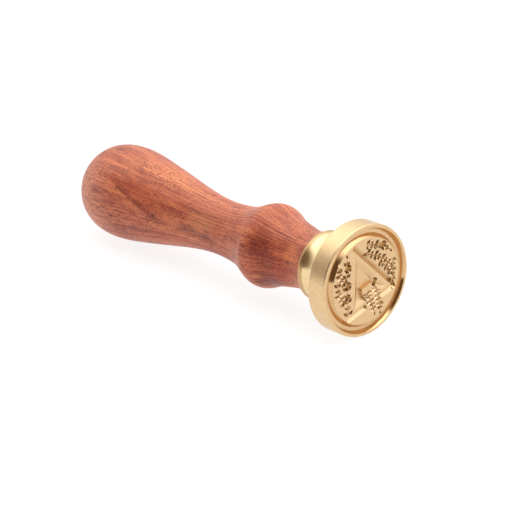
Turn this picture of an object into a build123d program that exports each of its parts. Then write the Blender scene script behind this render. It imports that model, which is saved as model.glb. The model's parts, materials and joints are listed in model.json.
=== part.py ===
from build123d import *
import math
import os

# Wax seal stamp: an engraved brass stamp head that unscrews from a turned rosewood handle.
# Every piece is turned about one axis. The working frame puts that axis on X with the
# stamping face at x = 0 looking along +X, so "depth" is the distance behind the face.
# The pieces are then laid on their side, resting on the rim of the head and on the bulb.
# All dimensions are in millimetres and all angles in degrees.

# Stamp head
disc_radius = 12.5
disc_thickness = 4.75
disc_front_round = 0.35
disc_back_round = 0.25
head_length = 13.5
collar_root_radius = 8.75
collar_waist_depth = 9.6
collar_waist_radius = 7.58
lip_start_depth = 12.4
lip_start_radius = 7.85
lip_middle_depth = 13.15
lip_middle_radius = 7.66
lip_end_radius = 7.2
head_bore_radius = 4.05
head_bore_depth = 6.0
drill_point_half_angle = 59

# Ring channel sunk in the stamping face, with walls that lean outwards
channel_outer_draft = 30
channel_inner_draft = 38
channel_outer_radius = 11.75
channel_inner_radius = 9.7
channel_depth = 0.95

# Triangle: V grooves along two outer edges, and a dished pit left inside a flat band
groove_lines = [((-3.6, 8.5), (7.5, -2.0)), ((-5.5, -7.7), (8.7, -3.2))]
groove_width = 1.35
groove_depth = 0.62
pit_corners = [(-3.0, 6.3), (5.8, -2.6), (-3.4, -5.6)]
pit_depth = 0.75
pit_wall_draft = 56
tab_width = 4.5
tab_height = 6.0
tab_corner_radius = 0.6
tab_centre = (1.7, -3.8)
tab_angle = 20

# Sprigs: base point, heading, change of heading, leaf pairs, spacing, leaf length and width
sprigs = [
    ((-5.1, -6.6), 96, -9, 9, 1.45, 2.1, 1.1),
    ((-5.9, -3.4), 140, -66, 5, 1.25, 2.1, 1.05),
    ((-5.8, 1.0), 142, -66, 4, 1.25, 1.9, 1.05),
    ((0.2, 8.0), -8, -32, 6, 1.25, 1.7, 1.1),
    ((0.2, 6.0), -16, -34, 7, 1.2, 1.9, 1.1),
    ((4.0, 3.4), -38, -14, 5, 1.1, 1.7, 0.95),
    ((8.0, 3.2), -88, -6, 6, 1.1, 1.6, 0.95),
    ((2.8, -1.8), -70, -16, 6, 1.05, 2.2, 1.0),
    ((0.2, -2.7), -60, -12, 5, 1.1, 1.9, 1.0),
    ((-2.6, -1.8), -38, -22, 4, 1.05, 1.3, 0.85),
]
leaf_splay = 52
stem_width = 0.45
stem_overlap = 1.4
leaf_shoulder = 0.4
leaf_depth_ratio = 0.62
small_leaf_share = 0.7
lower_leaf_share = 0.85
leaf_shortening = 0.4
tip_leaf_length_share = 0.6
tip_leaf_width_share = 0.8
cutter_overrun = 0.05

# Berries: centre and mouth radius of each flat-bottomed round pit
berries = [
    ((-5.2, 4.1), 1.0), ((-5.2, 0.2), 0.95), ((-5.2, -2.2), 0.65), ((-7.4, 4.3), 0.5),
    ((5.2, 6.8), 1.0), ((2.9, 7.1), 0.6), ((-0.2, 5.9), 0.6), ((6.9, 0.2), 0.6),
    ((7.9, -2.6), 0.6), ((2.6, -0.9), 1.0), ((-2.5, -1.5), 0.5),
]
berry_depth = 0.9
berry_wall_draft = 25

# Handle, from the front end back; the bead and the bulb are its two swellings
overall_length = 90.0
front_chamfer = 0.2
handle_front_radius = 7.12
handle_front_slope = -0.3
handle_outline = [
    (16.5, 6.64), (21.0, 7.25), (25.2, 8.30), (28.9, 9.57), (32.0, 8.65),
    (35.0, 7.37), (39.5, 6.50), (44.5, 6.24), (52.0, 6.84), (60.5, 8.36),
    (69.0, 9.91), (77.2, 10.90), (83.5, 9.88), (88.0, 6.25),
]
handle_bore_radius = 4.0
handle_bore_length = 20.0

# Hanger stud: machine thread at the head end, wood thread at the handle end
machine_thread_radius = 4.0
machine_pitch = 1.25
machine_thread_depth = 0.77
machine_ridges = 5
stud_front_depth = 6.5
stud_chamfer = 0.5
wood_thread_radius = 4.0
wood_pitch = 2.8
wood_thread_depth = 1.0
wood_ridges = 5
stud_shoulder_depth = 14.0
stud_point_length = 4.0
stud_point_radius = 0.4

# Spans of one thread pitch taken by the root, the flanks and the crest
ridge_shape = [(1 / 8, 0), (7 / 16, 1), (9 / 16, 1), (7 / 8, 0)]

# Samples along the handle outline when looking for the point that it rests on
rest_samples = 400

face_plane = Plane(origin=(0, 0, 0), x_dir=(0, 1, 0), z_dir=(1, 0, 0))


def at(depth, radius):
    """Point of a turned outline, given the depth behind the face and the radius."""
    return (-depth, radius)


def straight_lines(points):
    """Straight edges through a list of (depth, radius) points."""
    return [Line(at(*start), at(*end)) for start, end in zip(points, points[1:])]


def corner_arc(depth, radius, size, side):
    """Quarter round on an outer corner; side is 1 at the front corner and -1 at the back."""
    diagonal = size * (1 - math.sqrt(0.5))
    level = (depth, radius - size)
    outer = (depth + side * size, radius)
    middle = (depth + side * diagonal, radius - diagonal)
    ends = (level, outer) if side > 0 else (outer, level)
    return ThreePointArc(at(*ends[0]), at(*middle), at(*ends[1]))


def turned(edges):
    """Solid made by turning a closed outline about the axis."""
    return revolve(make_face(edges), axis=Axis.X)


def drill_point_length(radius):
    """Length of the cone that a drill leaves at the bottom of a hole."""
    return radius / math.tan(math.radians(drill_point_half_angle))


def turned_head_blank():
    """Disc, hollow collar, rounded lip and blind bore, before any engraving."""
    bore_tip = head_bore_depth - drill_point_length(head_bore_radius)
    edges = straight_lines([(0, 0), (0, disc_radius - disc_front_round)])
    edges.append(corner_arc(0, disc_radius, disc_front_round, 1))
    edges += straight_lines([
        (disc_front_round, disc_radius),
        (disc_thickness - disc_back_round, disc_radius),
    ])
    edges.append(corner_arc(disc_thickness, disc_radius, disc_back_round, -1))
    edges += straight_lines([
        (disc_thickness, disc_radius - disc_back_round),
        (disc_thickness, collar_root_radius),
    ])
    edges.append(ThreePointArc(
        at(disc_thickness, collar_root_radius),
        at(collar_waist_depth, collar_waist_radius),
        at(lip_start_depth, lip_start_radius),
    ))
    edges.append(ThreePointArc(
        at(lip_start_depth, lip_start_radius),
        at(lip_middle_depth, lip_middle_radius),
        at(head_length, lip_end_radius),
    ))
    edges += straight_lines([
        (head_length, lip_end_radius),
        (head_length, head_bore_radius),
        (head_bore_depth, head_bore_radius),
        (bore_tip, 0),
        (0, 0),
    ])
    return turned(edges)


def ring_channel():
    """Cutter for the drafted channel between the rim and the engraved plateau."""
    above = -cutter_overrun
    outer_lean = channel_depth * math.tan(math.radians(channel_outer_draft))
    inner_lean = channel_depth * math.tan(math.radians(channel_inner_draft))
    return turned(straight_lines([
        (above, channel_outer_radius),
        (0, channel_outer_radius),
        (channel_depth, channel_outer_radius - outer_lean),
        (channel_depth, channel_inner_radius + inner_lean),
        (0, channel_inner_radius),
        (above, channel_inner_radius),
        (above, channel_outer_radius),
    ]))


def groove(start, end):
    """Cutter for a straight V groove along a line in the face."""
    length = math.dist(start, end)
    heading = math.degrees(math.atan2(end[1] - start[1], end[0] - start[0]))
    section = Polyline(
        (-groove_width / 2, cutter_overrun),
        (-groove_width / 2, 0),
        (0, -groove_depth),
        (groove_width / 2, 0),
        (groove_width / 2, cutter_overrun),
        close=True,
    )
    wedge = extrude(face_plane * make_face(section), amount=length)
    return face_plane.location * Pos(*start) * Rot(0, 0, heading) * wedge


def triangle_cutters():
    """Cutters for the two grooves and the dished pit, each stopped short by the tab."""
    pit_outline = make_face(Polyline(*pit_corners, close=True))
    pit = extrude(face_plane * pit_outline, amount=-pit_depth, taper=pit_wall_draft)
    tab_outline = fillet(Rectangle(tab_width, tab_height).vertices(), tab_corner_radius)
    tab_outline = Pos(*tab_centre) * Rot(0, 0, tab_angle) * tab_outline
    tab_top = face_plane.offset(2 * cutter_overrun)
    tab = extrude(tab_top * tab_outline, amount=-2 * channel_depth)
    return [cutter - tab for cutter in [pit] + [groove(*line) for line in groove_lines]]


def leaf(base, heading, length, width):
    """Cutter for one chip-cut leaf: a kite outline that slopes down to a single deep point."""
    half_width = width / 2
    shoulder = leaf_shoulder * length
    outline = Polyline(
        (0, 0, 0),
        (shoulder, half_width, 0),
        (length, 0, 0),
        (shoulder, -half_width, 0),
        close=True,
    )
    lowest = Vertex(shoulder, 0, -leaf_depth_ratio * width - cutter_overrun)
    chip = Solid.make_loft([Wire(outline.edges()), lowest], ruled=True)
    placed = Pos(base[0], base[1], cutter_overrun) * Rot(0, 0, heading)
    return face_plane.location * placed * chip


def sprig(base, heading, bend, pairs, spacing, length, width):
    """Cutters for a stem of leaf pairs, large and small by turns, shortening to the tip."""
    cutters = []
    x, y = base
    for pair in range(pairs):
        share = pair / pairs
        size = 1 if pair % 2 == 0 else small_leaf_share
        direction = heading + bend * share
        reach = length * size * (1 - leaf_shortening * share * share)
        cutters.append(leaf((x, y), direction, spacing * stem_overlap, stem_width))
        cutters.append(leaf((x, y), direction + leaf_splay, reach, width * size))
        cutters.append(leaf((x, y), direction - leaf_splay, reach * lower_leaf_share, width))
        x += spacing * math.cos(math.radians(direction))
        y += spacing * math.sin(math.radians(direction))
    tip_length = length * tip_leaf_length_share
    cutters.append(leaf((x, y), heading + bend, tip_length, width * tip_leaf_width_share))
    return cutters


def berry(centre, radius):
    """Cutter for one round pit with a flat bottom and steep walls."""
    slope = math.tan(math.radians(berry_wall_draft))
    drill = Cone(
        radius - berry_depth * slope,
        radius + cutter_overrun * slope,
        berry_depth + cutter_overrun,
        align=(Align.CENTER, Align.CENTER, Align.MIN),
    )
    return face_plane.location * Pos(*centre, -berry_depth) * drill


def make_stamp_head():
    """Brass stamp head with its channel, triangle, sprigs and berries cut in."""
    cutters = [ring_channel()] + triangle_cutters()
    for layout in sprigs:
        cutters += sprig(*layout)
    for centre, radius in berries:
        cutters.append(berry(centre, radius))
    head = turned_head_blank()
    for cutter in cutters:
        head -= cutter
    return head


def handle_curve():
    """Smooth outline of the handle from the joint with the head to the end of the bulb."""
    points = [(head_length + front_chamfer, handle_front_radius)]
    points += handle_outline
    points.append((overall_length, 0))
    return Spline(
        *[at(*p) for p in points],
        tangents=[(-1, handle_front_slope), (0, -1)],
        tangent_scalars=[1, 1],
    )


def make_handle():
    """Turned rosewood handle with a drilled hole for the stud."""
    bore_end = head_length + handle_bore_length
    bore_tip = bore_end + drill_point_length(handle_bore_radius)
    edges = [handle_curve()]
    edges += straight_lines([
        (overall_length, 0),
        (bore_tip, 0),
        (bore_end, handle_bore_radius),
        (head_length, handle_bore_radius),
        (head_length, handle_front_radius - front_chamfer),
        (head_length + front_chamfer, handle_front_radius),
    ])
    return turned(edges)


def thread_ridges(start, pitch, count, crest_radius, ridge_height):
    """Outline points for evenly pitched ridges, each with flanks and a flat crest."""
    points = []
    for ridge in range(count):
        for share, rise in ridge_shape:
            radius = crest_radius - ridge_height * (1 - rise)
            points.append((start + (ridge + share) * pitch, radius))
    return points


def make_hanger_stud():
    """Steel stud with a machine thread at the front and a wood thread at the back."""
    machine_root = machine_thread_radius - machine_thread_depth
    wood_root = wood_thread_radius - wood_thread_depth
    machine_start = stud_front_depth + stud_chamfer
    wood_end = stud_shoulder_depth + wood_ridges * wood_pitch
    points = [(stud_front_depth, 0), (stud_front_depth, machine_root - stud_chamfer / 2)]
    points += thread_ridges(
        machine_start, machine_pitch, machine_ridges, machine_thread_radius, machine_thread_depth
    )
    points += thread_ridges(
        stud_shoulder_depth, wood_pitch, wood_ridges, wood_thread_radius, wood_thread_depth
    )
    points += [
        (wood_end, wood_root),
        (wood_end + stud_point_length, stud_point_radius),
        (wood_end + stud_point_length, 0),
        (stud_front_depth, 0),
    ]
    return turned(straight_lines(points))


def resting_tilt():
    """Angle between the axis and the table when the rim of the head and the bulb touch it."""
    rim_depth = disc_thickness - disc_back_round
    curve = handle_curve()
    angles = []
    for sample in range(rest_samples + 1):
        point = curve @ (sample / rest_samples)
        angles.append(math.atan2(disc_radius - point.Y, -point.X - rim_depth))
    return math.degrees(min(angles))


def laid_down(pieces):
    """Tilt the pieces into their resting pose and stand the group on the origin."""
    tilt = Rot(0, -resting_tilt(), 0)
    boxes = [(tilt * piece).bounding_box() for piece in pieces.values()]
    back_end = min(box.min.X for box in boxes)
    front_end = max(box.max.X for box in boxes)
    lowest = min(box.min.Z for box in boxes)
    shift = Pos(-(back_end + front_end) / 2, 0, -lowest)
    return {name: shift * tilt * piece for name, piece in pieces.items()}


os.makedirs("parts", exist_ok=True)
stamp_pieces = {
    "stamp_head": make_stamp_head(),
    "handle": make_handle(),
    "hanger_stud": make_hanger_stud(),
}
for node, solid in laid_down(stamp_pieces).items():
    export_step(solid, f"parts/{node}.step")
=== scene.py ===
import bpy
import json
import math
from mathutils import Euler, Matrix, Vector


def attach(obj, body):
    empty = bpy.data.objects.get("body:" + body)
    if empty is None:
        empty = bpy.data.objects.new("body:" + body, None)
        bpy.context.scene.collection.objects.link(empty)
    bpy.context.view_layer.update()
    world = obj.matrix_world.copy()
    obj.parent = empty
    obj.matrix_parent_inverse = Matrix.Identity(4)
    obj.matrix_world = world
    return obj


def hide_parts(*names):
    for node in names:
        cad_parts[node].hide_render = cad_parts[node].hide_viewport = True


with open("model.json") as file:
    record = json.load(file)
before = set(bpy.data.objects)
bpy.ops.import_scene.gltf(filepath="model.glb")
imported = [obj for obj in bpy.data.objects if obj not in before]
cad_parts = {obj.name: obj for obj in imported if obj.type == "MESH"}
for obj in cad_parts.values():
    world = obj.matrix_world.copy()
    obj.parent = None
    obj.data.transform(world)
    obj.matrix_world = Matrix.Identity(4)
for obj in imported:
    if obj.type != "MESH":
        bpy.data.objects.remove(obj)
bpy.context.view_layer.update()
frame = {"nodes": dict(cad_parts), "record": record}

# The turning frame: its origin is the middle of the stamping face, and its X axis points out of it
MM = 0.001
stamp_face = frame["record"]["mounts"][0]
FACE_CENTRE = Vector((stamp_face["pos_m"][0], 0.0, stamp_face["pos_m"][2]))
TILT = math.atan2(stamp_face["axis"][2], stamp_face["axis"][0])

# Shape of the head, in millimetres: radii, and depths behind the stamping face
RIM_RADIUS = 12.2
FACE_ZONE_DEPTH = 2.2
DISC_THICKNESS = 4.75
LIP_START = 11.75
PLATEAU_RADIUS = 9.7

# Where the brass finishes meet: each pair is where a change starts and where it is complete
RIM_BLEND = (RIM_RADIUS + 0.15, RIM_RADIUS - 0.05)
FACE_ZONE_BLEND = (FACE_ZONE_DEPTH + 0.3, FACE_ZONE_DEPTH)
COLLAR_DEPTH_BLEND = (DISC_THICKNESS, DISC_THICKNESS + 0.2)
COLLAR_RADIUS_BLEND = (9.5, 9.0)
LIP_BLEND = (LIP_START - 0.15, LIP_START + 0.1)
PLATEAU_BLEND = (PLATEAU_RADIUS + 0.1, PLATEAU_RADIUS - 0.1)

# A surface on the face counts as a cut wall as it turns away: 1 faces straight out
WALL_BLEND = (0.80, 0.60)

# Threaded stud, in millimetres; each thread has a pitch, root radius, ridge height and start
STUD_FRONT = 6.5
STUD_NOSE_RADIUS = 2.98
STUD_CREST = 3.99
MACHINE_END = 13.6
MACHINE_THREAD = (1.25, 3.23, 0.76, 6.6)
WOOD_THREAD = (2.8, 3.0, 0.99, 14.2)
WOOD_END = 28.0
STUD_TIP = 32.0
STUD_TIP_RADIUS = 0.42
STUD_STEP = 0.1
STUD_SIDES = 48
RIDGE_FOOT = 0.12
RIDGE_CREST = 0.44
SHARP_ANGLE = 40.0

# Camera: where it stands from the middle of the stamping face, in metres
CAMERA_OFFSET = Vector((0.352675, -0.352126, 0.209349))
CAMERA_AZIMUTH = math.radians(47.724)
CAMERA_ELEVATION = math.radians(22.246)
LENS_MM = 179.3
SENSOR_MM = 36.0
CAMERA_CLIP = (0.01, 20.0)

# Colours, as linear RGB
BRASS_FACE = (0.74, 0.51, 0.28)
BRASS_SIDE = (0.77, 0.545, 0.30)
BRASS_COVE = (0.84, 0.63, 0.35)
BRASS_LIP = (0.58, 0.37, 0.18)
# The cut walls in the channel and in the chips get darker colours than the face: painted shade in the
# recesses
BRASS_RECESS_SHADE = (0.66, 0.42, 0.21)
BRASS_CHIP_SHADE = (0.58, 0.41, 0.24)
BRASS_TARNISH = (0.50, 0.31, 0.14)
WOOD_LIGHT = (0.63, 0.185, 0.088)
WOOD_MID = (0.46, 0.108, 0.055)
WOOD_DARK = (0.24, 0.040, 0.028)
WOOD_PORE = (0.045, 0.010, 0.010)
WOOD_MAROON = (0.17, 0.022, 0.016)
WOOD_RED = (0.40, 0.065, 0.030)
WOOD_ORANGE = (0.90, 0.31, 0.12)
WOOD_PURPLE = (0.13, 0.045, 0.055)
WOOD_PALE = (0.72, 0.29, 0.19)
WOOD_TAN = (0.55, 0.22, 0.10)
ZINC = (0.60, 0.61, 0.60)
ZINC_BLOOM = (0.66, 0.60, 0.46)
FLOOR_COLOUR = (0.16, 0.16, 0.16)
FLOOR_GLOW_COLOUR = (1.0, 1.0, 1.0)

# Floor: its width in metres, and how strongly it glows
FLOOR_WIDTH = 4.0
FLOOR_GLOW = 0.86
FLOOR_ROUGHNESS = 0.9

# Brass patterns, as noise settings; a stretch is patterns per millimetre along X, Y and Z
BRASS_MOTTLE = {"scale": 1.1, "detail": 5.0, "roughness": 0.62}
BRASS_FINE = {"scale": 9.0, "detail": 3.0, "roughness": 0.6}
BRASS_SPECKLE = {"scale": 5.5, "detail": 4.0, "roughness": 0.7}
BRASS_RINGS = {"stretch": (14.0, 0.25, 0.25), "detail": 2.0, "roughness": 0.6}
TARNISH_RANGE = (0.45, 0.75)
TARNISH_STRENGTH = 0.30
SPECKLE_RANGE = (0.52, 0.66)
SPECKLE_STRENGTH = 0.40
SATIN_RANGE = (0.3, 0.7)

# Brass roughness and relief; the smooth parts are the cove and the cut walls
SATIN_ROUGHNESS = (0.24, 0.36)
FACE_ROUGHNESS = 0.42
WALL_ROUGHNESS = 0.12
COVE_ROUGHNESS = 0.21
MOTTLE_HEIGHT = 0.6
FINE_HEIGHT = 0.4
BRASS_RELIEF = 0.40
SMOOTH_RELIEF = 0.07
BRASS_RELIEF_MM = 0.05

# Wood patterns
WOOD_BROAD = {"stretch": (0.035, 0.55, 0.22), "detail": 4.0, "roughness": 0.6, "distortion": 0.3}
WOOD_BLOTCHES = {"stretch": (0.22, 0.40, 0.40), "detail": 3.0, "roughness": 0.6}
WOOD_LAYERS = {"stretch": (0.035, 2.2, 0.8), "detail": 3.0, "roughness": 0.6, "distortion": 0.2}
LONG_THREADS = {"detail": 3.0, "roughness": 0.65}
SHORT_THREADS = {"stretch": (0.11, 4.8, 4.8), "detail": 3.0, "roughness": 0.65}
PORES = {"stretch": (1.3, 6.4, 6.4), "detail": 1.0, "roughness": 0.4}
PORE_CROWDS = {"stretch": (0.12, 0.45, 0.45), "detail": 2.0, "roughness": 0.5}

# Growth layers: how they lie across the handle, and how strongly each pattern shows
LAYER_TURN = Euler((math.radians(-20), math.radians(12), math.radians(2)))
BROAD_RANGE = (0.36, 0.64)
BLOTCH_RANGE = (0.50, 0.68)
BLOTCH_STRENGTH = 0.30
LAYER_RANGE = (0.50, 0.66)
LAYER_STRENGTH = 0.40

# Threads: strengths are away from the lit top ridge and on it; on the ridge the orange threads are made
# stronger as painted highlight
LONG_THREAD_SHARE = 0.65
DARK_THREAD_RANGE = (0.51, 0.60)
DARK_THREAD_STRENGTH = (0.60, 0.80)
BRIGHT_THREAD_RANGE = (0.49, 0.41)
BRIGHT_THREAD_STRENGTH = (0.35, 0.95)

# Pores, and the wood's roughness, relief and oiled coat
CROWD_WEIGHT = 0.30
STREAK_PORE_WEIGHT = 0.05
PORE_RANGE = (0.79, 0.85)
PORE_STRENGTH = 0.90
PORE_ROUGHNESS = 0.75
WOOD_ROUGHNESS = (0.36, 0.50)
THREAD_HEIGHT = 0.4
WOOD_RELIEF = 0.35
WOOD_RELIEF_MM = 0.05
WOOD_SPECULAR = 0.25
OIL_COAT = 0.08
OIL_ROUGHNESS = 0.30

# Zinc plating
ZINC_LINES = {"stretch": (20.0, 0.4, 0.4), "detail": 2.0, "roughness": 0.6}
ZINC_CLOUDS = {"scale": 0.8, "detail": 3.0, "roughness": 0.55}
CLOUD_RANGE = (0.4, 0.7)
ZINC_ROUGHNESS = (0.22, 0.38)
ZINC_RELIEF = 0.3
ZINC_RELIEF_MM = 0.02

# Studio: a bright room, brightest overhead, with one dim patch in front of the object
HORIZON_LIGHT = 0.85
ZENITH_LIGHT = 2.70
DIM_PATCH = (0.05, -0.92, 0.38)
DIM_EDGE = 0.56
DIM_CORE = 0.80
DIM_LIGHT = (0.17, 0.105, 0.06)

# Fibres per unit of direction around the axis and per millimetre along it
THREADS_AROUND = 30.0
THREADS_ALONG = 0.055
BULB_END_FADE = (-84.0, -72.0)
FRONT_END_FADE = (-13.55, -13.9)

# Dark streak across the bulb, and the lit top ridge where bright threads are made stronger as painted
# highlight, in millimetres
STREAK_SLOPE = 0.42
STREAK_OFFSET = 23.9
STREAK_WAVE = 1.5
STREAK_CENTRE = (-66.0, -8.5, 3.0)
STREAK_REACH = (13.0, 8.0, 8.0)
REDDENED_RANGE = (-0.4, 1.5)
REDDENED_STRENGTH = 0.50
STREAK_LINE_RANGE = (0.9, 0.1)
STREAK_LINE_STRENGTH = 0.50
LIT_RIDGE_CENTRE = (-56.0, -2.5, 8.5)
LIT_RIDGE_REACH = (24.0, 5.0, 4.0)

# A patch falls from its edge to its core; the layers make it weaker and stronger by these factors
PATCH_FALL = (1.0, 0.25)
PATCH_RAGGEDNESS = (0.5, 1.5)

# Coloured patches in the wood, with painted shade under the bulb and neck and a painted highlight on top
# of the bulb: centre, reach along X, Y and Z in millimetres, colour, strength
WOOD_PATCHES_AND_PAINTED_LIGHT = [
    ((-25.0, -8.0, 3.0), (4.6, 5.0, 6.0), WOOD_MAROON, 0.85),
    ((-21.5, -7.0, -2.0), (8.5, 6.5, 6.5), WOOD_RED, 0.95),
    ((-24.0, -6.0, -5.5), (6.0, 5.5, 4.5), WOOD_MAROON, 0.95),
    ((-23.5, -7.5, 0.5), (3.0, 3.0, 3.0), WOOD_MAROON, 0.50),
    # Painted highlight: orange along the top of the bulb
    ((-62.0, -1.0, 8.5), (15.0, 3.5, 3.5), WOOD_ORANGE, 0.50),
    ((-46.0, -6.5, 3.0), (7.0, 3.0, 3.0), WOOD_TAN, 0.60),
    ((-49.6, -6.5, 0.1), (4.0, 2.5, 1.2), WOOD_PURPLE, 0.60),
    ((-45.0, -6.3, -0.6), (3.0, 2.5, 1.2), WOOD_PURPLE, 0.55),
    ((-66.9, -8.8, -3.6), (2.2, 2.0, 1.3), WOOD_PURPLE, 0.50),
    # Painted shade: the underside of the bulb is painted a darker red
    ((-60.0, -5.0, -8.0), (26.0, 8.0, 6.0), WOOD_RED, 0.55),
    # Painted shade: the underside of the neck is painted a darker red
    ((-41.0, -5.0, -4.0), (9.0, 4.0, 4.0), WOOD_RED, 0.85),
    ((-74.0, -9.5, -4.5), (9.0, 5.0, 4.5), WOOD_PURPLE, 0.35),
    ((-17.0, -6.5, 3.0), (3.0, 3.0, 4.0), WOOD_ORANGE, 0.45),
    ((-25.5, -8.5, -4.5), (3.0, 2.0, 1.2), WOOD_ORANGE, 0.60),
    ((-65.6, -6.1, 7.0), (2.6, 2.0, 1.2), WOOD_PURPLE, 0.50),
    ((-82.0, -7.5, 0.0), (11.0, 10.0, 12.0), WOOD_PALE, 1.00),
    ((-30.8, -8.5, 0.0), (1.4, 4.0, 5.0), WOOD_PALE, 0.70),
]


class Nodes:
    """A node tree, with short calls for the nodes that this scene uses."""

    def __init__(self, tree):
        self.tree = tree

    def feed(self, socket, value):
        """Link another node's output to a socket, or set the socket to a plain value."""
        if isinstance(value, bpy.types.NodeSocket):
            self.tree.links.new(value, socket)
        elif isinstance(value, (tuple, list, Vector)) and len(value) == 3 and socket.type == "RGBA":
            socket.default_value = (*value, 1.0)
        else:
            socket.default_value = value

    def node(self, kind, output=0, settings=None, **inputs):
        """Add a node, feed its inputs by name and return one of its outputs."""
        added = self.tree.nodes.new(kind)
        for key, value in (settings or {}).items():
            setattr(added, key, value)
        for key, value in inputs.items():
            self.feed(added.inputs[key.replace("_", " ")], value)
        return added.outputs[output]

    def calc(self, operation, first, second=0.0, clamp=False):
        """One step of arithmetic."""
        added = self.tree.nodes.new("ShaderNodeMath")
        added.operation = operation
        added.use_clamp = clamp
        self.feed(added.inputs[0], first)
        self.feed(added.inputs[1], second)
        return added.outputs[0]

    def ramp(self, value, low, high):
        """Smooth rise from 0 at low to 1 at high; it falls instead if low is above high."""
        added = self.tree.nodes.new("ShaderNodeMapRange")
        added.interpolation_type = "SMOOTHSTEP"
        rising = low < high
        self.feed(added.inputs["Value"], value)
        added.inputs["From Min"].default_value = min(low, high)
        added.inputs["From Max"].default_value = max(low, high)
        added.inputs["To Min"].default_value = 0.0 if rising else 1.0
        added.inputs["To Max"].default_value = 1.0 if rising else 0.0
        return added.outputs["Result"]

    def mix(self, share, first, second):
        """Blend two colours."""
        added = self.tree.nodes.new("ShaderNodeMix")
        added.data_type = "RGBA"
        self.feed(added.inputs[0], share)
        self.feed(added.inputs[6], first)
        self.feed(added.inputs[7], second)
        return added.outputs[2]

    def blend(self, share, first, second):
        """Blend two numbers."""
        added = self.tree.nodes.new("ShaderNodeMix")
        added.data_type = "FLOAT"
        self.feed(added.inputs[0], share)
        self.feed(added.inputs[2], first)
        self.feed(added.inputs[3], second)
        return added.outputs[0]

    def noise(self, place, stretch=None, scale=1.0, detail=2.0, roughness=0.5, distortion=0.0):
        """Noise value from 0 to 1 at a place, stretched along the axes if a stretch is given."""
        if stretch is not None:
            place = self.node("ShaderNodeMapping", 0, None, Vector=place, Scale=stretch)
        return self.node(
            "ShaderNodeTexNoise", 0, None,
            Vector=place, Scale=scale, Detail=detail, Roughness=roughness, Distortion=distortion,
        )

    def turning_place(self):
        """Place in millimetres in the turning frame: X out of the face, Y across, Z up."""
        coordinates = self.node("ShaderNodeTexCoord", "Object")
        return self.node(
            "ShaderNodeMapping", 0, {"vector_type": "TEXTURE"},
            Vector=coordinates, Location=FACE_CENTRE, Rotation=Euler((0, -TILT, 0)),
            Scale=(MM, MM, MM),
        )

    def split(self, place):
        """The three numbers of a place."""
        added = self.tree.nodes.new("ShaderNodeSeparateXYZ")
        self.feed(added.inputs[0], place)
        return added.outputs[0], added.outputs[1], added.outputs[2]

    def vector(self, operation, first, second=(0.0, 0.0, 0.0)):
        """One step of arithmetic on vectors."""
        added = self.tree.nodes.new("ShaderNodeVectorMath")
        added.operation = operation
        self.feed(added.inputs[0], first)
        self.feed(added.inputs[1], second)
        return added.outputs["Vector"]

    def along(self, vector, direction):
        """How far a vector goes along a direction."""
        added = self.tree.nodes.new("ShaderNodeVectorMath")
        added.operation = "DOT_PRODUCT"
        self.feed(added.inputs[0], vector)
        added.inputs[1].default_value = direction
        return added.outputs["Value"]

    def near(self, place, centre, reach):
        """Soft patch: 1 near a centre, falling to 0 at its reach along each axis."""
        added = self.tree.nodes.new("ShaderNodeMapping")
        added.vector_type = "TEXTURE"
        self.feed(added.inputs["Vector"], place)
        added.inputs["Location"].default_value = centre
        added.inputs["Scale"].default_value = reach
        length = self.tree.nodes.new("ShaderNodeVectorMath")
        length.operation = "LENGTH"
        self.feed(length.inputs[0], added.outputs[0])
        return self.ramp(length.outputs["Value"], *PATCH_FALL)

    def bump(self, height, strength, distance_mm, normal=None):
        """Surface relief from a height."""
        added = self.tree.nodes.new("ShaderNodeBump")
        self.feed(added.inputs["Height"], height)
        self.feed(added.inputs["Strength"], strength)
        added.inputs["Distance"].default_value = distance_mm * MM
        if normal is not None:
            self.feed(added.inputs["Normal"], normal)
        return added.outputs[0]


class Surface(Nodes):
    """The node tree of a new material."""

    def __init__(self, name):
        self.material = bpy.data.materials.new(name)
        self.material.use_nodes = True
        super().__init__(self.material.node_tree)
        self.surface = self.tree.nodes["Principled BSDF"]

    def finish(self, **inputs):
        """Feed the surface's own inputs and return the material."""
        for key, value in inputs.items():
            self.feed(self.surface.inputs[key.replace("_", " ")], value)
        return self.material


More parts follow.
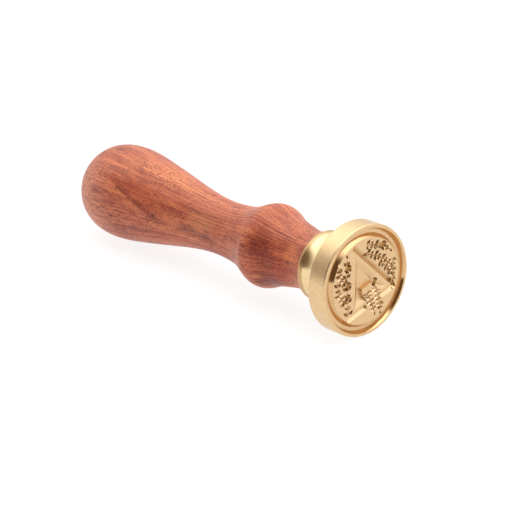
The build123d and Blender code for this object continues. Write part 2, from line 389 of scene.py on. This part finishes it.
def brass_material():
    """Turned brass: matte engraved face with glossy cut walls painted darker as painted shade, satin edge,
    polished cove.
    """
    s = Surface("turned_brass")
    place = s.turning_place()
    x, y, z = s.split(place)
    depth = s.calc("MULTIPLY", x, -1.0)
    radius = s.calc("SQRT", s.calc("ADD", s.calc("MULTIPLY", y, y), s.calc("MULTIPLY", z, z)))
    face = s.calc("MULTIPLY", s.ramp(radius, *RIM_BLEND), s.ramp(depth, *FACE_ZONE_BLEND))
    facing = s.along(s.node("ShaderNodeTexCoord", "Normal"), (math.cos(TILT), 0, math.sin(TILT)))
    wall = s.calc("MULTIPLY", face, s.ramp(facing, *WALL_BLEND))
    collar = s.calc("MULTIPLY", s.ramp(depth, *COLLAR_DEPTH_BLEND), s.ramp(radius, *COLLAR_RADIUS_BLEND))
    lip = s.ramp(depth, *LIP_BLEND)
    cove = s.calc("MULTIPLY", collar, s.calc("SUBTRACT", 1.0, lip))
    mottle = s.noise(place, **BRASS_MOTTLE)
    fine = s.noise(place, **BRASS_FINE)
    rings = s.noise(place, **BRASS_RINGS)
    colour = s.mix(face, BRASS_SIDE, BRASS_FACE)
    colour = s.mix(cove, colour, BRASS_COVE)
    colour = s.mix(lip, colour, BRASS_LIP)
    inner = s.ramp(radius, *PLATEAU_BLEND)
    # Cut walls take the darker colours: painted shade in the channel and the chips
    colour = s.mix(wall, colour, s.mix(inner, BRASS_RECESS_SHADE, BRASS_CHIP_SHADE))
    tarnish = s.calc("MULTIPLY", s.ramp(mottle, *TARNISH_RANGE), TARNISH_STRENGTH)
    colour = s.mix(tarnish, colour, BRASS_TARNISH)
    speckle = s.ramp(s.noise(place, **BRASS_SPECKLE), *SPECKLE_RANGE)
    speckle = s.calc("MULTIPLY", speckle, SPECKLE_STRENGTH)
    off_face = s.calc("SUBTRACT", 1.0, s.calc("MAXIMUM", face, cove))
    colour = s.mix(s.calc("MULTIPLY", speckle, off_face), colour, BRASS_TARNISH)
    satin = s.blend(s.ramp(fine, *SATIN_RANGE), *SATIN_ROUGHNESS)
    roughness = s.blend(face, satin, FACE_ROUGHNESS)
    roughness = s.blend(wall, roughness, WALL_ROUGHNESS)
    roughness = s.blend(cove, roughness, COVE_ROUGHNESS)
    grain = s.calc("ADD", s.calc("MULTIPLY", mottle, MOTTLE_HEIGHT), s.calc("MULTIPLY", fine, FINE_HEIGHT))
    relief = s.calc("ADD", grain, s.calc("MULTIPLY", rings, s.calc("SUBTRACT", 1.0, face)))
    smooth = s.calc("MAXIMUM", cove, wall)
    strength = s.blend(smooth, BRASS_RELIEF, SMOOTH_RELIEF)
    normal = s.bump(relief, strength, BRASS_RELIEF_MM)
    return s.finish(Base_Color=colour, Metallic=1.0, Roughness=roughness, Normal=normal)


def rosewood_colour(s, place, threads, layers):
    """Rosewood colour before its pores: growth layers, coloured patches with painted shade under the bulb
    and neck and a painted highlight on top of the bulb, and fine threads made brighter along the top ridge
    as painted highlight.
    """
    layered = s.node("ShaderNodeMapping", 0, None, Vector=place, Rotation=LAYER_TURN)
    broad = s.noise(layered, **WOOD_BROAD)
    blotches = s.ramp(s.noise(place, **WOOD_BLOTCHES), *BLOTCH_RANGE)
    colour = s.mix(s.ramp(broad, *BROAD_RANGE), WOOD_MID, WOOD_LIGHT)
    colour = s.mix(s.calc("MULTIPLY", blotches, BLOTCH_STRENGTH), colour, WOOD_PURPLE)
    raggedness = s.blend(layers, *PATCH_RAGGEDNESS)
    for centre, reach, tint, strength in WOOD_PATCHES_AND_PAINTED_LIGHT:
        ragged = s.calc("MULTIPLY", s.near(place, centre, reach), raggedness, clamp=True)
        colour = s.mix(s.calc("MULTIPLY", ragged, strength), colour, tint)
    dark_layers = s.calc("MULTIPLY", s.ramp(layers, *LAYER_RANGE), LAYER_STRENGTH)
    colour = s.mix(dark_layers, colour, WOOD_DARK)
    # Along the lit top ridge the threads are stronger: the dark ones as grain contrast, the orange ones as
    # painted highlight
    ridge = s.near(place, LIT_RIDGE_CENTRE, LIT_RIDGE_REACH)
    dark_strength = s.blend(ridge, *DARK_THREAD_STRENGTH)
    bright_strength = s.blend(ridge, *BRIGHT_THREAD_STRENGTH)
    dark_threads = s.calc("MULTIPLY", s.ramp(threads, *DARK_THREAD_RANGE), dark_strength)
    bright_threads = s.calc("MULTIPLY", s.ramp(threads, *BRIGHT_THREAD_RANGE), bright_strength)
    colour = s.mix(dark_threads, colour, WOOD_DARK)
    return s.mix(bright_threads, colour, WOOD_ORANGE)


def wood_threads(s, place):
    """Fine fibres: long ones along the turned outline, fading to short ones at both ends."""
    x, y, z = s.split(place)
    across = s.node("ShaderNodeCombineXYZ", 0, None, X=0.0, Y=y, Z=z)
    around = s.vector("NORMALIZE", across)
    spread = s.vector("MULTIPLY", around, (0.0, THREADS_AROUND, THREADS_AROUND))
    lengthwise = s.vector("MULTIPLY", place, (THREADS_ALONG, 0.0, 0.0))
    long_threads = s.noise(s.vector("ADD", spread, lengthwise), **LONG_THREADS)
    short_threads = s.noise(place, **SHORT_THREADS)
    fade = s.calc("MULTIPLY", s.ramp(x, *BULB_END_FADE), s.ramp(x, *FRONT_END_FADE))
    share = s.calc("MULTIPLY", fade, LONG_THREAD_SHARE)
    return s.blend(share, short_threads, long_threads)


def rosewood_streak(s, place, layers):
    """Height above the dark streak that crosses the bulb, and how near the streak's middle is."""
    x, y, z = s.split(place)
    slanted = s.calc("ADD", z, s.calc("MULTIPLY", x, STREAK_SLOPE))
    wavy = s.calc("ADD", slanted, s.calc("MULTIPLY", layers, STREAK_WAVE))
    return s.calc("ADD", wavy, STREAK_OFFSET), s.near(place, STREAK_CENTRE, STREAK_REACH)


def rosewood_pores(s, place, line):
    """Short vessel pores, in loose crowds and a little denser along the streak's line."""
    crowd = s.calc("MULTIPLY", s.noise(place, **PORE_CROWDS), CROWD_WEIGHT)
    crowded = s.calc("ADD", crowd, s.calc("MULTIPLY", line, STREAK_PORE_WEIGHT))
    return s.ramp(s.calc("ADD", s.noise(place, **PORES), crowded), *PORE_RANGE)


def rosewood_material():
    """Oiled rosewood: layered colour, a dark streak across the bulb, and short vessel pores."""
    s = Surface("oiled_rosewood")
    place = s.turning_place()
    layers = s.noise(place, **WOOD_LAYERS)
    threads = wood_threads(s, place)
    colour = rosewood_colour(s, place, threads, layers)
    above, close = rosewood_streak(s, place, layers)
    reddened = s.calc("MULTIPLY", s.ramp(above, *REDDENED_RANGE), close)
    colour = s.mix(s.calc("MULTIPLY", reddened, REDDENED_STRENGTH), colour, WOOD_RED)
    line = s.calc("MULTIPLY", s.ramp(s.calc("ABSOLUTE", above), *STREAK_LINE_RANGE), close)
    colour = s.mix(s.calc("MULTIPLY", line, STREAK_LINE_STRENGTH), colour, WOOD_MAROON)
    pore = rosewood_pores(s, place, line)
    colour = s.mix(s.calc("MULTIPLY", pore, PORE_STRENGTH), colour, WOOD_PORE)
    roughness = s.blend(pore, s.blend(threads, *WOOD_ROUGHNESS), PORE_ROUGHNESS)
    height = s.calc("SUBTRACT", s.calc("MULTIPLY", threads, THREAD_HEIGHT), pore)
    normal = s.bump(height, WOOD_RELIEF, WOOD_RELIEF_MM)
    return s.finish(
        Base_Color=colour, Roughness=roughness, Normal=normal,
        Specular_IOR_Level=WOOD_SPECULAR, Coat_Weight=OIL_COAT, Coat_Roughness=OIL_ROUGHNESS,
    )


def zinc_material():
    """Zinc-plated steel with fine turning lines and a faint warm bloom."""
    s = Surface("zinc_plated_steel")
    place = s.turning_place()
    lines = s.noise(place, **ZINC_LINES)
    clouds = s.noise(place, **ZINC_CLOUDS)
    colour = s.mix(s.ramp(clouds, *CLOUD_RANGE), ZINC, ZINC_BLOOM)
    roughness = s.blend(lines, *ZINC_ROUGHNESS)
    normal = s.bump(lines, ZINC_RELIEF, ZINC_RELIEF_MM)
    return s.finish(Base_Color=colour, Metallic=1.0, Roughness=roughness, Normal=normal)


def floor_material():
    """Plain pale floor, lit from below as on a light table, so that shadows stay faint."""
    s = Surface("light_table")
    return s.finish(
        Base_Color=FLOOR_COLOUR, Roughness=FLOOR_ROUGHNESS,
        Emission_Color=FLOOR_GLOW_COLOUR, Emission_Strength=FLOOR_GLOW,
    )


def stud_radius(depth, turn):
    """Radius of the threaded stud at a depth and at a share of a turn around the axis."""
    if depth < MACHINE_END:
        pitch, root, height, start = MACHINE_THREAD
        chamfer = STUD_NOSE_RADIUS + depth - STUD_FRONT
    else:
        pitch, root, height, start = WOOD_THREAD
        chamfer = STUD_CREST
    if depth > WOOD_END:
        share = (depth - WOOD_END) / (STUD_TIP - WOOD_END)
        return root + (STUD_TIP_RADIUS - root) * share
    phase = ((depth - start) / pitch - turn) % 1.0
    rise = min(1.0, max(0.0, (0.5 - abs(phase - 0.5) - RIDGE_FOOT) / (RIDGE_CREST - RIDGE_FOOT)))
    if depth < start:
        rise = 0.0
    return min(root + height * rise, chamfer)


def stud_points(rows):
    """Points of the stud: one ring of them at each step of depth, from the nose to the tip."""
    points = []
    for row in range(rows + 1):
        depth = STUD_FRONT + row * STUD_STEP
        for column in range(STUD_SIDES):
            turn = column / STUD_SIDES
            radius = stud_radius(depth, turn)
            angle = 2 * math.pi * turn
            points.append(turned_point(depth, radius * math.cos(angle), radius * math.sin(angle)))
    return points


def stud_faces(rows):
    """Faces between neighbouring rings of points, and one at each end."""
    faces = []
    for row in range(rows):
        for column in range(STUD_SIDES):
            after = (column + 1) % STUD_SIDES
            near = row * STUD_SIDES
            far = near + STUD_SIDES
            faces.append((near + column, far + column, far + after, near + after))
    last = rows * STUD_SIDES
    faces.append(tuple(range(STUD_SIDES)))
    faces.append(tuple(last + column for column in reversed(range(STUD_SIDES))))
    return faces


def make_threaded_stud():
    """Stud with helical threads, shown instead of the CAD stud with its closed rings."""
    rows = round((STUD_TIP - STUD_FRONT) / STUD_STEP)
    mesh = bpy.data.meshes.new("threaded_stud")
    mesh.from_pydata(stud_points(rows), [], stud_faces(rows))
    mesh.polygons.foreach_set("use_smooth", [True] * len(mesh.polygons))
    mesh.set_sharp_from_angle(angle=math.radians(SHARP_ANGLE))
    mesh.materials.append(zinc_material())
    stud = bpy.data.objects.new("threaded_stud", mesh)
    bpy.context.scene.collection.objects.link(stud)
    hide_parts("hanger_stud")
    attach(stud, "handle")


def turned_point(depth, y, z):
    """World place of a point given in the turning frame, in millimetres behind the face."""
    x = -depth
    along = x * math.cos(TILT) - z * math.sin(TILT)
    upward = x * math.sin(TILT) + z * math.cos(TILT)
    return FACE_CENTRE + Vector((along, y, upward)) * MM


def dress(node, material):
    """Give a CAD node its material."""
    mesh = frame["nodes"][node].data
    mesh.materials.clear()
    mesh.materials.append(material)


def lay_floor(width):
    """Square floor at the height that the stamp rests on."""
    half = width / 2
    corners = [(-half, -half, 0.0), (half, -half, 0.0), (half, half, 0.0), (-half, half, 0.0)]
    mesh = bpy.data.meshes.new("floor")
    mesh.from_pydata(corners, [], [(0, 1, 2, 3)])
    mesh.materials.append(floor_material())
    floor = bpy.data.objects.new("floor", mesh)
    bpy.context.scene.collection.objects.link(floor)


def set_world():
    """Soft light from a bright room that is brightest overhead and has one dim patch."""
    world = bpy.data.worlds.new("studio")
    world.use_nodes = True
    s = Nodes(world.node_tree)
    direction = s.node("ShaderNodeTexCoord", "Generated")
    height = s.calc("MAXIMUM", s.along(direction, (0, 0, 1)), 0.0)
    level = s.blend(s.calc("MULTIPLY", height, height), HORIZON_LIGHT, ZENITH_LIGHT)
    bright = s.node("ShaderNodeCombineColor", 0, None, Red=level, Green=level, Blue=level)
    dim = s.ramp(s.along(direction, Vector(DIM_PATCH).normalized()), DIM_EDGE, DIM_CORE)
    background = s.tree.nodes["Background"]
    s.feed(background.inputs["Color"], s.mix(dim, bright, DIM_LIGHT))
    bpy.context.scene.world = world


def set_camera():
    """Camera at the photograph's viewing angle."""
    data = bpy.data.cameras.new("camera")
    data.lens = LENS_MM
    data.sensor_width = SENSOR_MM
    data.clip_start, data.clip_end = CAMERA_CLIP
    camera = bpy.data.objects.new("camera", data)
    camera.location = FACE_CENTRE + CAMERA_OFFSET
    back = Vector((
        math.sin(CAMERA_AZIMUTH) * math.cos(CAMERA_ELEVATION),
        -math.cos(CAMERA_AZIMUTH) * math.cos(CAMERA_ELEVATION),
        math.sin(CAMERA_ELEVATION),
    ))
    camera.rotation_euler = (-back).to_track_quat("-Z", "Y").to_euler()
    bpy.context.scene.collection.objects.link(camera)
    bpy.context.scene.camera = camera


dress("stamp_head", brass_material())
dress("handle", rosewood_material())
make_threaded_stud()

lay_floor(FLOOR_WIDTH)
set_world()
set_camera()
bpy.context.scene.view_settings.view_transform = "Standard"
